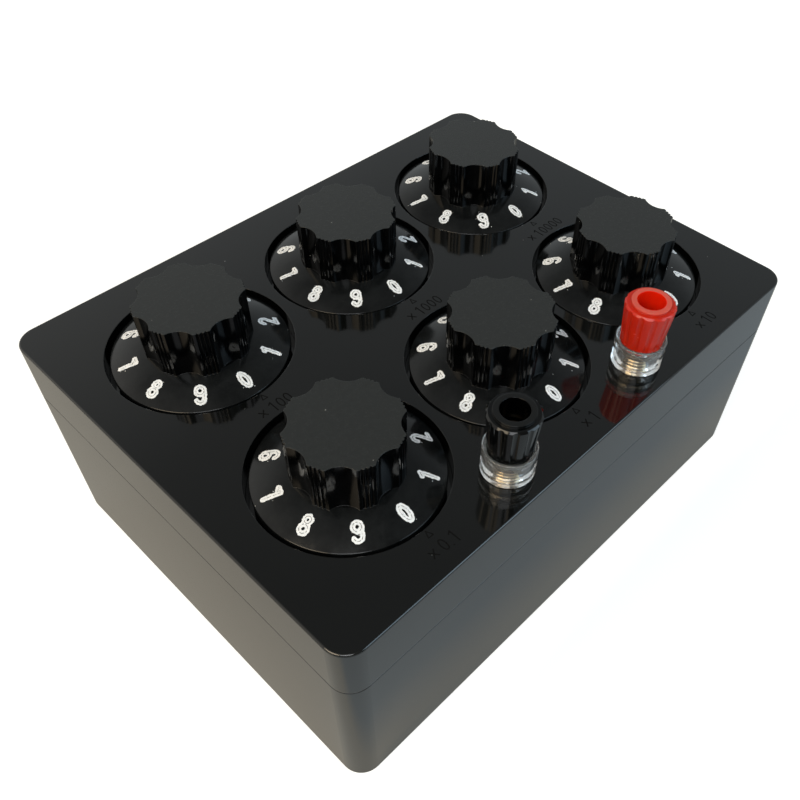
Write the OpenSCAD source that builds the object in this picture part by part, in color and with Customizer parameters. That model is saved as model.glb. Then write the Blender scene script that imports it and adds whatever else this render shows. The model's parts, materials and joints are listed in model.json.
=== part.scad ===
// Decade resistance box. Six knob dials turn in round wells of a moulded cover, and each one carries
// a brush over a ring of contacts with wire-wound resistors. Two binding posts stand in front of the dials.
// Millimetres, +Z up, +Y to the back, +X to the user's right, origin at the middle of the underside.

/* [Case] */
// Width of the case, left to right
case_w = 170; // [150:1:220]
// Depth of the case, front to back
case_d = 129; // [114:1:170]
// Height of the case, from the underside to the panel
case_h = 67; // [60:0.5:90]
// Height of the cover, from the parting line to the panel
cover_h = 17.5; // [14:0.5:22]
// Radius of the four upright corners
corner_r = 6; // [4:0.5:9]
// Radius of the rounded outer edges of the panel and the underside
edge_r = 0.6; // [0.3:0.1:1.5]
// Radius of the edges that meet at the parting line
seam_r = 0.25; // [0.1:0.05:0.5]
// Thickness of the side walls
wall = 3; // [2:0.25:4]
// Thickness of the floor of the base
floor_t = 3; // [2:0.25:5]
// Thickness of the panel and of the well floors
panel_t = 3; // [2:0.25:4]
// Depth of the locating lip of the cover in the base
lip_h = 3; // [2:0.25:4]
// Thickness of the locating lip
lip_t = 1.4; // [1:0.1:2]
// Gap between the lip and the wall of the base
lip_gap = 0.2; // [0.1:0.05:0.4]

/* [Case screws] */
// Radius of the screw pillars of the base
pillar_r = 5; // [4.8:0.1:6]
// Radius of the screw bosses of the cover
boss_r = 4.2; // [3.4:0.1:4.3]
// Radius of the screw heads
screw_head_r = 3.2; // [2.8:0.1:3.4]
// Height of the screw heads
screw_head_h = 2.4; // [1.6:0.1:3]
// Radius of the screw shanks
screw_r = 1.7; // [1.25:0.05:2]
// Length of the screws under the head
screw_l = 14; // [10:0.5:16]
// Thickness of the pillar's seat under the screw head
screw_seat_t = 4; // [3:0.5:6]

/* [Dials] */
// Margin from the sides of the case to the wells of the dials
side_margin = 9.4; // [9:0.1:14]
// Margin from the front and the back of the case to the wells
end_margin = 11.8; // [11:0.1:16]
// Least width of panel between neighbouring wells of a row
well_web = 3; // [2.5:0.1:5]
// Least width of panel between the two rows of wells
row_web = 8.6; // [4:0.1:12]
// Gap between the skirt of a knob dial and the wall of its well
skirt_gap = 1.3; // [0.6:0.1:1.6]
// Drop of the skirt's edge below the panel
skirt_drop = 0.9; // [0.4:0.1:1.5]
// Height of the skirt's upright rim
skirt_rim_h = 1.6; // [1:0.1:2]
// Radius of the rounded edge of the skirt's rim
rim_r = 0.35; // [0.2:0.05:0.5]
// Thickness of the skirt
skirt_t = 1.8; // [1.2:0.1:2.2]
// Radius of the skirt's crown in section
crown_r = 34; // [24:1:60]
// Depth of the wells, from the panel to their floors
well_depth = 6; // [5.5:0.25:7]
// Thickness of the well walls
well_wall = 2.5; // [1.5:0.25:3]

/* [Grips] */
// Radius of a grip over its lobes
grip_r = 13.8; // [12.8:0.1:15]
// Height of the grip's top above the panel
grip_top = 15.9; // [14:0.1:20]
// Height of the grip's foot above the panel, where it meets the skirt
grip_foot = 2.1; // [1.6:0.1:2.4]
// Number of flutes round a grip
flute_count = 8; // [6:1:8]
// Radius of a flute in section
flute_r = 5.2; // [4.6:0.1:7]
// Depth of a flute, from the lobes to its bottom
flute_depth = 1.55; // [1:0.05:1.8]
// Number of fine grooves on each lobe
groove_count = 3; // [2:1:3]
// Distance between fine grooves
groove_pitch = 1.05; // [0.8:0.05:1.1]
// Depth of a fine groove
groove_depth = 0.36; // [0.2:0.02:0.4]
// Thickness of the wall between a flute and the hollow of the grip
grip_wall = 2.35; // [1.5:0.05:2.6]
// Thickness of the grip's flat top
grip_top_t = 2.5; // [1.5:0.1:3]
// Radius of the hub in the grip
hub_r = 6.5; // [5.8:0.1:7]
// Thickness of the ribs between the hub and the grip's wall
hub_rib_t = 1.6; // [1:0.1:2]

/* [Spindles] */
// Radius of a spindle
spindle_r = 3; // [2.5:0.05:3]
// Radial clearance between a spindle and its bush
spindle_gap = 0.04; // [0.02:0.01:0.08]
// Depth of the flat for the grub screw
flat_depth = 0.5; // [0.3:0.05:0.7]
// Length of the spindle above the panel
spindle_top = 10.5; // [9.5:0.25:11]
// Radius of the shoulder under the bush
shoulder_r = 4.4; // [4:0.1:5]
// Height of the shoulder under the bush
shoulder_h = 2; // [1.8:0.1:2.4]
// Radius of the stub that the brush is riveted to
stub_r = 2; // [1.6:0.05:2.2]
// Radius of the riveted end
rivet_r = 3; // [2.6:0.1:3.4]
// Height of the riveted end
rivet_h = 0.8; // [0.5:0.1:1.2]
// Radius of a grub screw
grub_r = 1.95; // [1.45:0.05:2]
// Length of a grub screw
grub_l = 4; // [3.5:0.25:4.5]
// Height of the grub screws above the panel
grub_z = 6.5; // [5.5:0.25:7]
// Clearance of parts that are screwed, riveted or pushed together
part_gap = 0.05; // [0.02:0.01:0.08]
// Gap between contacts or bobbins and the plate that they lie against
seat_gap = 0.02; // [0.01:0.01:0.05]

/* [Bushes] */
// Radius of a bush's threaded barrel
bush_r = 4; // [3.8:0.05:4.4]
// Radius of a bush's flange
bush_flange_r = 6.2; // [5.5:0.1:6.4]
// Thickness of a bush's flange
bush_flange_t = 1.8; // [1.4:0.1:1.9]
// Width of a bush nut across its flats
bush_nut_af = 11; // [10:0.5:12]
// Thickness of a bush nut
bush_nut_t = 2.2; // [1.6:0.1:2.4]

/* [Contacts] */
// Difference in radius between a well and the contact plate under it
plate_margin = 1.8; // [1.2:0.1:2.2]
// Thickness of a contact plate
plate_t = 2.4; // [2:0.1:3]
// Gap between the collector ring and the contact studs
stud_gap = 1; // [0.7:0.1:1.3]
// Radius of a stud's head
stud_head_r = 2.3; // [1.8:0.1:2.4]
// Height of a stud's head, and of the collector ring
stud_head_h = 2; // [1.9:0.1:2.4]
// Width of the sloping edge of a stud's head
stud_chamfer = 0.3; // [0.1:0.05:0.4]
// Radius of a stud's shank
stud_shank_r = 1.2; // [0.8:0.1:1.4]
// Width of the solder lugs
lug_w = 2.4; // [1.8:0.1:2.6]
// Thickness of the solder lugs
lug_t = 0.8; // [0.5:0.1:1]
// Distance from the ends of the solder lugs to the edge of the plate
lug_inset = 0.8; // [0.4:0.1:1]
// Inner radius of a collector ring
collector_in = 7; // [6.8:0.1:7.2]
// Outer radius of a collector ring
collector_out = 9.2; // [8.8:0.1:9.4]
// Width of a collector ring's tail
tail_w = 1.6; // [1:0.1:1.8]
// Thickness of a brush leaf
brush_t = 0.8; // [0.5:0.1:1]
// Width of a brush arm
brush_w = 5; // [4:0.1:6]
// Radius of a brush's noses
nose_r = 0.8; // [0.6:0.05:0.9]
// Width of the slot that divides a brush's tip
brush_slot_w = 0.6; // [0.4:0.05:0.8]
// Gap between a brush and the contacts that it passes
brush_gap = 0.2; // [0.1:0.05:0.3]

/* [Resistors] */
// Distance from the bobbins to the edge of the plate
bobbin_edge = 0.2; // [0.1:0.1:0.6]
// Largest radius of a bobbin's flanges
bobbin_size = 3.3; // [2.6:0.1:3.4]
// Least gap between a bobbin and the contact studs beside it
bobbin_gap = 0.2; // [0.1:0.05:0.4]
// Thickness of a bobbin's flanges
bobbin_flange_t = 1; // [0.7:0.1:1.4]
// Length of a bobbin
bobbin_l = 24; // [16:1:26]
// Depth of the winding below the flanges
winding_depth = 0.4; // [0.2:0.1:0.8]
// Radius of a lead
lead_r = 0.35; // [0.2:0.05:0.4]

/* [Binding posts] */
// Distance of the binding posts from the midlines between the dials, towards the middle
post_offset = 0.4; // [0:0.1:1.5]
// Distance from the front of the case to the binding posts
post_inset = 10.4; // [9.8:0.1:11]
// Radius of a clear collar
collar_r = 6.5; // [6.4:0.1:7]
// Height of a clear collar
collar_h = 8; // [7:0.1:8.1]
// Width of the sloping edge round a collar's foot
collar_bevel = 0.3; // [0.2:0.1:0.5]
// Thickness of a collar's floor
collar_floor_t = 4.4; // [4:0.1:4.6]
// Radius of a stud's flange in the collar
post_flange_r = 4.25; // [3.8:0.05:4.6]
// Thickness of a stud's flange
post_flange_t = 1.8; // [1.4:0.1:2]
// Radius of a stud's barrel
post_barrel_r = 3; // [2.8:0.05:3.1]
// Height of a stud's top above the panel
post_top = 13; // [12:0.25:13.5]
// Radius of a stud's shank through the panel
post_shank_r = 3; // [2.8:0.05:3.1]
// Distance between the thread's grooves on a shank, where they show through the collar
thread_pitch = 1; // [0.8:0.05:1.2]
// Depth of the thread's grooves
thread_depth = 0.4; // [0.2:0.05:0.4]
// Length of a stud's shank below the panel's top
post_shank_l = 11; // [9:0.5:12]
// Radius of the plug socket
socket_r = 2; // [1.95:0.05:2]
// Depth of the plug socket
socket_depth = 11; // [9.5:0.25:11]
// Radius of the wire hole across a stud
wire_hole_r = 1; // [0.6:0.1:1]
// Height of the wire hole above the panel
wire_hole_z = 8.4; // [8.2:0.1:8.6]
// Radius of a cap over its ridges, at the shoulder
cap_r = 6.35; // [6:0.05:6.6]
// Radius of a cap over its ridges, at its foot in the collar
cap_foot_r = 5.3; // [5.2:0.05:5.4]
// Height of a cap's top above the panel
cap_top = 19.8; // [19:0.1:22]
// Width of the sloping edge round a cap's shoulder
cap_bevel = 0.5; // [0.2:0.1:0.8]
// Radius of the raised ring round a cap's mouth
cap_ring_r = 4.9; // [4.4:0.1:5.2]
// Height of the raised ring
cap_ring_h = 0.7; // [0.4:0.1:1]
// Number of flutes round a cap
cap_flutes = 12; // [8:1:14]
// Radius of a cap's flute in section
cap_flute_r = 1.1; // [0.8:0.1:1.4]
// Depth of a cap's flutes
cap_flute_depth = 0.3; // [0.15:0.05:0.4]
// Radius of a cap's mouth
cap_mouth_r = 3.5; // [3.3:0.05:3.8]
// Gap all round between a cap and its collar
cap_gap = 0.3; // [0.25:0.05:0.35]
// Outer radius of the threaded insert in a cap
insert_r = 4.3; // [4:0.05:4.4]
// Length of the threaded insert
insert_l = 5; // [4:0.25:5.4]
// Width of a post nut across its flats
post_nut_af = 10; // [9:0.5:10]
// Thickness of a post nut
post_nut_t = 4; // [3:0.25:4.5]
// Radius of a solder tag's ring
tag_r = 4.8; // [4.4:0.1:5]
// Length of a solder tag, from the post to the hole at its end
tag_l = 9.5; // [8:0.5:10]
// Radius of the link wires
wire_r = 0.7; // [0.4:0.05:0.8]

/* [Hidden] */
$fn = 64;
positions = 10;
// How far a cutter stands out of what it cuts, and how far joined shapes reach into each other
over = 1;
fuse = 0.1;
DECADES = ["tenths", "units", "tens", "hundreds", "thousands", "ten_thousands"];
DECADE_PIECES = [
  "knob_dial", "grub_screw", "spindle", "brush", "contact_plate", "contact_studs", "resistors"
];
POSTS = ["black", "red"];
POST_PIECES = ["post_cap", "post_insert", "post_collar", "post_stud"];

// Clearances and small reaches inside the case
pillar_gap = 0.5;
pillar_sink = 0.5;
head_gap = 0.4;
hub_gap = 0.7;
bore_end_gap = 0.5;
end_float = 0.3;
shank_recess = 0.2;
key_end_gap = 0.4;
insert_recess = 0.6;
insert_end_gap = 0.4;
wire_end_gap = 0.1;
wire_clear = 0.5;
wire_drop = 3.2;
wire_layer = 1.8;

// Levels, from the case upwards and from the panel downwards
part_z = case_h - cover_h;
pillar_top = part_z - lip_h - pillar_gap;
screw_seat_z = pillar_top - screw_seat_t;
panel_mid = case_h - panel_t / 2;
well_floor_z = case_h - well_depth;
plate_top = well_floor_z - panel_t;
plate_under = plate_top - plate_t;
lug_top = plate_under - seat_gap;
contact_z = lug_top - stud_head_h;
bush_under = plate_under - bush_flange_t;
shoulder_top = bush_under - end_float;
brush_top = shoulder_top - shoulder_h;
nut_top = well_floor_z + bush_nut_t;
hub_under = nut_top + hub_gap;
wire_levels = [plate_under - wire_drop, plate_under - wire_drop - wire_layer];

// Places in plan
inner_w = case_w - 2 * wall;
inner_d = case_d - 2 * wall;
inner_r = corner_r - wall / 2;
well_r = min((case_w - 2 * side_margin - 2 * well_web) / 6, (case_d - 2 * end_margin - row_web) / 4);
pitch_x = case_w / 2 - side_margin - well_r;
pitch_y = case_d - 2 * end_margin - 2 * well_r;
skirt_r = well_r - skirt_gap;
pillar_inset = wall + pillar_r - pillar_sink;
head_hole_r = screw_head_r + head_gap;
cross_l = 1.25 * screw_head_r;
cross_w = screw_r / 2;
flute_floor_r = grip_r - flute_depth;
grip_hollow_r = flute_floor_r - grip_wall;
grub_key_r = grub_r * 0.6;
step = 360 / positions;
zero_angle = -90;
tail_angle = zero_angle - step / 2;
plate_r = well_r - plate_margin;
stud_ring_r = collector_out + stud_gap + stud_head_r;
lug_end_r = plate_r - lug_inset;
bobbin_ring_r = plate_r - bobbin_edge - bobbin_size;
bobbin_room = norm(on_circle(bobbin_ring_r, step / 2) - [stud_ring_r, 0]) - stud_head_r - bobbin_gap;
bobbin_r = min(bobbin_size, bobbin_room);
winding_r = bobbin_r - winding_depth;
key_r = 1.2;
key_inset = 4.4;
key_ring_r = plate_r - key_inset;
peg_r = 0.7;
peg_angles = [for (k = [0:2]) tail_angle + 60 + k * 120];
collector_r = (collector_in + collector_out) / 2;
post_places = [for (s = [-1, 1]) [s * (pitch_x / 2 - post_offset), post_inset - case_d / 2]];
cap_foot = collar_floor_t + post_flange_t + cap_gap;
cap_edge = cap_top - cap_ring_h - cap_bevel;
cap_slope = (cap_r - cap_foot_r) / (cap_edge - cap_foot);
collar_cup_r = cap_foot_r + cap_slope * (collar_h - cap_foot) + cap_gap;
insert_foot = cap_foot + insert_recess;
insert_pocket_top = insert_foot + insert_l + insert_end_gap;
tag_under = case_h - panel_t - lug_t;

function dial_place(i) = [(i % 3 - 1) * pitch_x, (floor(i / 3) - 0.5) * pitch_y];
function on_circle(r, angle) = [r * cos(angle), r * sin(angle)];
function at_level(p, z) = [p.x, p.y, z];

// Shapes that several pieces share

module rounded_rect(w, d, r) {
  square([w - 2 * r, d], center = true);
  square([w, d - 2 * r], center = true);
  for (x = [-1, 1], y = [-1, 1])
    translate([x * (w / 2 - r), y * (d / 2 - r)]) circle(r = r);
}

module rounded_block(w, d, r, z0, z1) {
  translate([0, 0, z0]) linear_extrude(z1 - z0) rounded_rect(w, d, r);
}

// Section that is cut away to round an edge, with the edge at the origin and the material below left
module edge_section(e) {
  difference() {
    translate([-e, -e]) square(e + over);
    translate([-e, -e]) circle(r = e);
  }
}

// Cutter that rounds the upper outer edge of a block whose top is at z = 0
module edge_cutter(w, d, r, e) {
  for (a = [0, 180]) rotate([0, 0, a]) {
    translate([w / 2, 0, 0]) rotate([90, 0, 0]) linear_extrude(d - 2 * r, center = true) edge_section(e);
    rotate([0, 0, 90]) translate([d / 2, 0, 0]) rotate([90, 0, 0])
      linear_extrude(w - 2 * r, center = true) edge_section(e);
    translate([w / 2 - r, d / 2 - r, 0]) rotate_extrude(angle = 90) translate([r, 0]) edge_section(e);
    translate([r - w / 2, d / 2 - r, 0]) rotate([0, 0, 90])
      rotate_extrude(angle = 90) translate([r, 0]) edge_section(e);
  }
}

module tube(r_out, r_in, z0, z1) {
  difference() {
    translate([0, 0, z0]) cylinder(r = r_out, h = z1 - z0);
    translate([0, 0, z0 - over]) cylinder(r = r_in, h = z1 - z0 + 2 * over);
  }
}

module hex_nut(af, r_in, z0, z1) {
  difference() {
    translate([0, 0, z0]) cylinder(d = af / cos(30), h = z1 - z0, $fn = 6);
    translate([0, 0, z0 - over]) cylinder(r = r_in, h = z1 - z0 + 2 * over);
  }
}

module rod(a, b, r) {
  v = b - a;
  translate(a) rotate([0, acos(v.z / norm(v)), atan2(v.y, v.x)]) cylinder(r = r, h = norm(v));
}

// A flat strip along +X from the middle to radius r1, with a round end and a hole near the end
module lug_strip(w, t, r1, hole_r) {
  difference() {
    union() {
      translate([0, -w / 2, 0]) cube([r1 - w / 2, w, t]);
      translate([r1 - w / 2, 0, 0]) cylinder(r = w / 2, h = t);
    }
    translate([r1 - w / 2, 0, -over]) cylinder(r = hole_r, h = t + 2 * over);
  }
}

module at_dial(i) {
  translate(dial_place(i)) children();
}

module at_pillars() {
  for (x = [-1, 1], y = [-1, 1])
    translate([x * (case_w / 2 - pillar_inset), y * (case_d / 2 - pillar_inset), 0]) children();
}

// Case

module case_base() color("#2b2b2d") difference() {
  union() {
    difference() {
      rounded_block(case_w, case_d, corner_r, 0, part_z);
      rounded_block(inner_w, inner_d, inner_r, floor_t, part_z + over);
    }
    at_pillars() cylinder(r = pillar_r, h = pillar_top);
  }
  mirror([0, 0, 1]) edge_cutter(case_w, case_d, corner_r, edge_r);
  translate([0, 0, part_z]) edge_cutter(case_w, case_d, corner_r, seam_r);
  at_pillars() {
    translate([0, 0, -over]) cylinder(r = head_hole_r, h = screw_seat_z + over);
    cylinder(r = screw_r + 4 * part_gap, h = pillar_top + over);
  }
}

module cover_lip() {
  lip_w = inner_w - 2 * lip_gap;
  lip_d = inner_d - 2 * lip_gap;
  lip_r = inner_r - lip_gap;
  difference() {
    union() {
      rounded_block(inner_w + 2 * fuse, inner_d + 2 * fuse, inner_r, part_z, part_z + lip_h / 2);
      rounded_block(lip_w, lip_d, lip_r, part_z - lip_h, part_z);
    }
    rounded_block(lip_w - 2 * lip_t, lip_d - 2 * lip_t, lip_r - lip_t, part_z - lip_h - over, part_z + lip_h);
  }
}

module top_cover() color("#2b2b2d") difference() {
  union() {
    difference() {
      rounded_block(case_w, case_d, corner_r, part_z, case_h);
      rounded_block(inner_w, inner_d, inner_r, part_z - over, case_h - panel_t);
    }
    cover_lip();
    at_pillars() translate([0, 0, pillar_top]) cylinder(r = boss_r, h = panel_mid - pillar_top);
    for (i = [0:5]) at_dial(i) {
      translate([0, 0, plate_top]) cylinder(r = well_r + well_wall, h = panel_mid - plate_top);
      translate(at_level(on_circle(key_ring_r, tail_angle), plate_under + key_end_gap))
        cylinder(r = key_r, h = plate_t + panel_t / 2);
    }
  }
  translate([0, 0, case_h]) edge_cutter(case_w, case_d, corner_r, edge_r);
  translate([0, 0, part_z]) mirror([0, 0, 1]) edge_cutter(case_w, case_d, corner_r, seam_r);
  for (i = [0:5]) at_dial(i) {
    translate([0, 0, well_floor_z]) cylinder(r = well_r, h = well_depth + over);
    translate([0, 0, plate_top - over]) cylinder(r = bush_r + 2 * part_gap, h = panel_t + 2 * over);
  }
  for (p = post_places)
    translate([p.x, p.y, part_z]) cylinder(r = post_shank_r + 2 * part_gap, h = cover_h + over);
  at_pillars() translate([0, 0, pillar_top - over]) cylinder(r = screw_r + part_gap, h = screw_l + over);
}

module case_screws() color("#9a9a98") at_pillars() difference() {
  union() {
    translate([0, 0, screw_seat_z - screw_head_h]) cylinder(r = screw_head_r, h = screw_head_h);
    translate([0, 0, screw_seat_z - screw_head_h / 2]) cylinder(r = screw_r, h = screw_l + screw_head_h / 2);
  }
  for (a = [0, 90]) rotate([0, 0, a]) translate([0, 0, screw_seat_z - screw_head_h])
    cube([cross_l, cross_w, screw_head_h], center = true);
}

// Knob dials

// Outline of a grip: a circle with wide round flutes and fine grooves on the lobes between them
module grip_outline() {
  pitch = 360 / flute_count;
  groove_angle = groove_pitch / grip_r * 180 / PI;
  groove_side = groove_depth * sqrt(2);
  difference() {
    circle(r = grip_r);
    for (i = [0:flute_count - 1]) {
      rotate(zero_angle + i * pitch) translate([flute_floor_r + flute_r, 0]) circle(r = flute_r);
      for (k = [0:groove_count - 1])
        rotate(zero_angle + (i + 0.5) * pitch + (k - (groove_count - 1) / 2) * groove_angle)
          translate([grip_r, 0]) rotate(45) square(groove_side, center = true);
    }
  }
}

// Section that is cut away to round the skirt's rim, up to where the crown's normal has this slope
module rim_cutter(slope) {
  difference() {
    intersection() {
      square(2 * rim_r);
      rotate(slope - 90) square(2 * rim_r);
    }
    circle(r = rim_r);
  }
}

// Half section of the skirt: a crowned shell with an upright rim, in radius and height above the panel
module skirt_section() {
  edge = [skirt_r, -skirt_drop];
  foot = [grip_r, grip_foot];
  chord = foot - edge;
  sink = sqrt(crown_r * crown_r - norm(chord) * norm(chord) / 4);
  centre = (edge + foot) / 2 + [-chord.y, chord.x] * sink / norm(chord);
  rim_out = skirt_r - rim_r - centre.x;
  rim_up = sqrt(pow(crown_r - rim_r, 2) - rim_out * rim_out);
  difference() {
    intersection() {
      difference() {
        translate(centre) circle(r = crown_r, $fn = 128);
        intersection() {
          translate(centre) circle(r = crown_r - skirt_t, $fn = 128);
          translate([0, -crown_r]) square([skirt_r - skirt_t, 2 * crown_r]);
        }
      }
      translate([grip_hollow_r, -skirt_drop - skirt_rim_h])
        square([skirt_r - grip_hollow_r, skirt_drop + skirt_rim_h + grip_foot + skirt_t]);
    }
    translate(centre + [rim_out, rim_up]) rim_cutter(atan2(rim_up, rim_out));
  }
}

module knob_dial() color("#1d1e20") difference() {
  hollow_top = grip_top - grip_top_t;
  rib_sink = 0.5;
  union() {
    translate([0, 0, case_h]) {
      rotate_extrude() skirt_section();
      difference() {
        translate([0, 0, grip_foot - skirt_t / 2])
          linear_extrude(grip_top - grip_foot + skirt_t / 2) grip_outline();
        cylinder(r = grip_hollow_r, h = hollow_top);
      }
      for (a = [45, 135]) rotate([0, 0, a])
        translate([-grip_hollow_r - rib_sink, -hub_rib_t / 2, grip_foot + rib_sink])
          cube([2 * (grip_hollow_r + rib_sink), hub_rib_t, hollow_top - grip_foot]);
    }
    translate([0, 0, hub_under]) cylinder(r = hub_r, h = case_h + hollow_top + fuse - hub_under);
  }
  translate([0, 0, hub_under - over])
    cylinder(r = spindle_r + part_gap / 2, h = case_h + spindle_top + bore_end_gap - hub_under + over);
  translate([0, 0, case_h + grub_z]) rotate([-90, 0, 0]) cylinder(r = grub_r + part_gap, h = grip_r + over);
}

module grub_screw() color("#8d8d8a")
  translate([0, spindle_r - flat_depth + part_gap, case_h + grub_z]) rotate([-90, 0, 0]) difference() {
    cylinder(r = grub_r, h = grub_l);
    translate([0, 0, grub_l / 2]) cylinder(r = grub_key_r, h = grub_l, $fn = 6);
  }

module spindle() color("#c9b276") difference() {
  union() {
    translate([0, 0, shoulder_top - over / 2])
      cylinder(r = spindle_r, h = case_h + spindle_top - shoulder_top + over / 2);
    translate([0, 0, brush_top]) cylinder(r = shoulder_r, h = shoulder_h);
    translate([0, 0, brush_top - brush_t - rivet_h]) cylinder(r = stub_r, h = brush_t + rivet_h + over / 2);
    translate([0, 0, brush_top - brush_t - rivet_h]) cylinder(r = rivet_r, h = rivet_h);
  }
  translate([-spindle_r, spindle_r - flat_depth, case_h + grub_z - grub_r - over])
    cube([2 * spindle_r, spindle_r, spindle_top]);
}

module spindle_bushes() color("#c9b276") for (i = [0:5]) at_dial(i) difference() {
  union() {
    translate([0, 0, bush_under]) cylinder(r = bush_r, h = nut_top - bush_under);
    translate([0, 0, bush_under]) cylinder(r = bush_flange_r, h = bush_flange_t);
  }
  translate([0, 0, bush_under - over])
    cylinder(r = spindle_r + spindle_gap, h = nut_top - bush_under + 2 * over);
}

module bush_nuts() color("#b9b4a8") for (i = [0:5]) at_dial(i)
  hex_nut(bush_nut_af, bush_r + part_gap, well_floor_z, nut_top);

// Brush switches

module contact_plate() color("#5a3b22") difference() {
  translate([0, 0, plate_under]) cylinder(r = plate_r, h = plate_t);
  translate([0, 0, plate_under - over]) {
    cylinder(r = bush_r + part_gap, h = plate_t + 2 * over);
    for (k = [0:positions - 1]) translate(on_circle(stud_ring_r, zero_angle + k * step))
      cylinder(r = stud_shank_r + part_gap, h = plate_t + 2 * over);
    for (a = peg_angles) translate(on_circle(collector_r, a))
      cylinder(r = peg_r + part_gap, h = plate_t + 2 * over);
    translate(on_circle(key_ring_r, tail_angle)) cylinder(r = key_r + part_gap, h = plate_t + 2 * over);
  }
}

module contact_studs() color("#cdb06a") for (k = [0:positions - 1]) rotate([0, 0, zero_angle + k * step]) {
  head_z = contact_z + stud_chamfer;
  translate([stud_ring_r, 0, contact_z])
    cylinder(r1 = stud_head_r - stud_chamfer, r2 = stud_head_r, h = stud_chamfer);
  translate([stud_ring_r, 0, head_z]) cylinder(r = stud_head_r, h = lug_top - head_z);
  translate([stud_ring_r, 0, head_z]) cylinder(r = stud_shank_r, h = plate_top - shank_recess - head_z);
  translate([stud_ring_r, 0, lug_top - lug_t])
    lug_strip(lug_w, lug_t, lug_end_r - stud_ring_r, lug_w / 4);
}

module collector_rings() color("#cdb06a") for (i = [0:5]) at_dial(i) {
  tube(collector_out, collector_in, contact_z, lug_top);
  for (a = peg_angles) translate(at_level(on_circle(collector_r, a), contact_z + stud_chamfer))
    cylinder(r = peg_r, h = plate_top - shank_recess - contact_z - stud_chamfer);
  rotate([0, 0, tail_angle]) translate([collector_r, 0, lug_top - lug_t])
    lug_strip(tail_w, lug_t, lug_end_r - collector_r, tail_w / 4);
}

// A leaf with two noses: the outer one passes the studs, the inner one runs under the collector ring
module brush() color("#d3bb80") {
  tip_r = stud_ring_r + stud_head_r;
  nose_h = contact_z - brush_gap - brush_top + fuse;
  translate([0, 0, brush_top - brush_t]) difference() {
    union() {
      cylinder(r = shoulder_r + nose_r, h = brush_t);
      rotate([0, 0, zero_angle]) translate([0, -brush_w / 2, 0]) cube([tip_r, brush_w, brush_t]);
    }
    translate([0, 0, -over]) cylinder(r = stub_r + part_gap / 2, h = brush_t + 2 * over);
    rotate([0, 0, zero_angle]) translate([collector_r + 2 * nose_r, -brush_slot_w / 2, -over])
      cube([tip_r, brush_slot_w, brush_t + 2 * over]);
  }
  rotate([0, 0, zero_angle]) {
    translate([collector_r - nose_r, -brush_w / 4, brush_top - fuse]) cube([2 * nose_r, brush_w / 2, nose_h]);
    for (s = [-1, 1]) translate([stud_ring_r, s * brush_w / 4, brush_top - fuse])
      cylinder(r = nose_r, h = nose_h);
  }
}

// Nine bobbins hang from the plate, each between two studs and joined to the lugs of both
module resistors() color("#7b3f2a") {
  lead_z = lug_top - lug_t - part_gap - lead_r;
  // Degrees by which a lead stops short of the middle of its lug, so that the leads of two bobbins stay apart
  lead_stop = 1.6;
  for (k = [0:positions - 2]) rotate([0, 0, zero_angle + (k + 0.5) * step]) {
    translate([bobbin_ring_r, 0, lug_top - bobbin_l]) {
      cylinder(r = winding_r, h = bobbin_l);
      for (z = [0, bobbin_l - bobbin_flange_t]) translate([0, 0, z])
        cylinder(r = bobbin_r, h = bobbin_flange_t);
    }
    for (s = [-1, 1]) {
      lead_end = on_circle(bobbin_ring_r, s * (step / 2 - lead_stop));
      rod([bobbin_ring_r, s * winding_r / 2, lead_z], at_level(lead_end, lead_z), lead_r);
    }
  }
}

// Binding posts

module post_collar() color("#dfe3e4", 0.5) translate([0, 0, case_h]) difference() {
  union() {
    cylinder(r1 = collar_r - collar_bevel, r2 = collar_r, h = collar_bevel);
    translate([0, 0, collar_bevel]) cylinder(r = collar_r, h = collar_h - collar_bevel);
  }
  translate([0, 0, -over]) cylinder(r = post_shank_r + 2 * part_gap, h = collar_h);
  translate([0, 0, collar_floor_t]) cylinder(r = post_flange_r + 2 * part_gap, h = collar_h);
  translate([0, 0, collar_floor_t + post_flange_t]) cylinder(r = collar_cup_r, h = collar_h);
}

module thread_groove() {
  rotate_extrude() translate([post_shank_r, 0]) rotate(45) square(thread_depth * sqrt(2), center = true);
}

module post_stud() color("#c9b276") translate([0, 0, case_h]) difference() {
  union() {
    translate([0, 0, -post_shank_l]) cylinder(r = post_shank_r, h = post_shank_l + collar_floor_t + fuse);
    translate([0, 0, collar_floor_t]) cylinder(r = post_flange_r, h = post_flange_t);
    translate([0, 0, collar_floor_t]) cylinder(r = post_barrel_r, h = post_top - collar_floor_t);
  }
  translate([0, 0, post_top - socket_depth]) cylinder(r = socket_r, h = socket_depth + over);
  translate([-cap_r, 0, wire_hole_z]) rotate([0, 90, 0]) cylinder(r = wire_hole_r, h = 2 * cap_r);
  for (z = [thread_pitch / 2:thread_pitch:collar_floor_t - thread_pitch / 2])
    translate([0, 0, z]) thread_groove();
}

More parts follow.
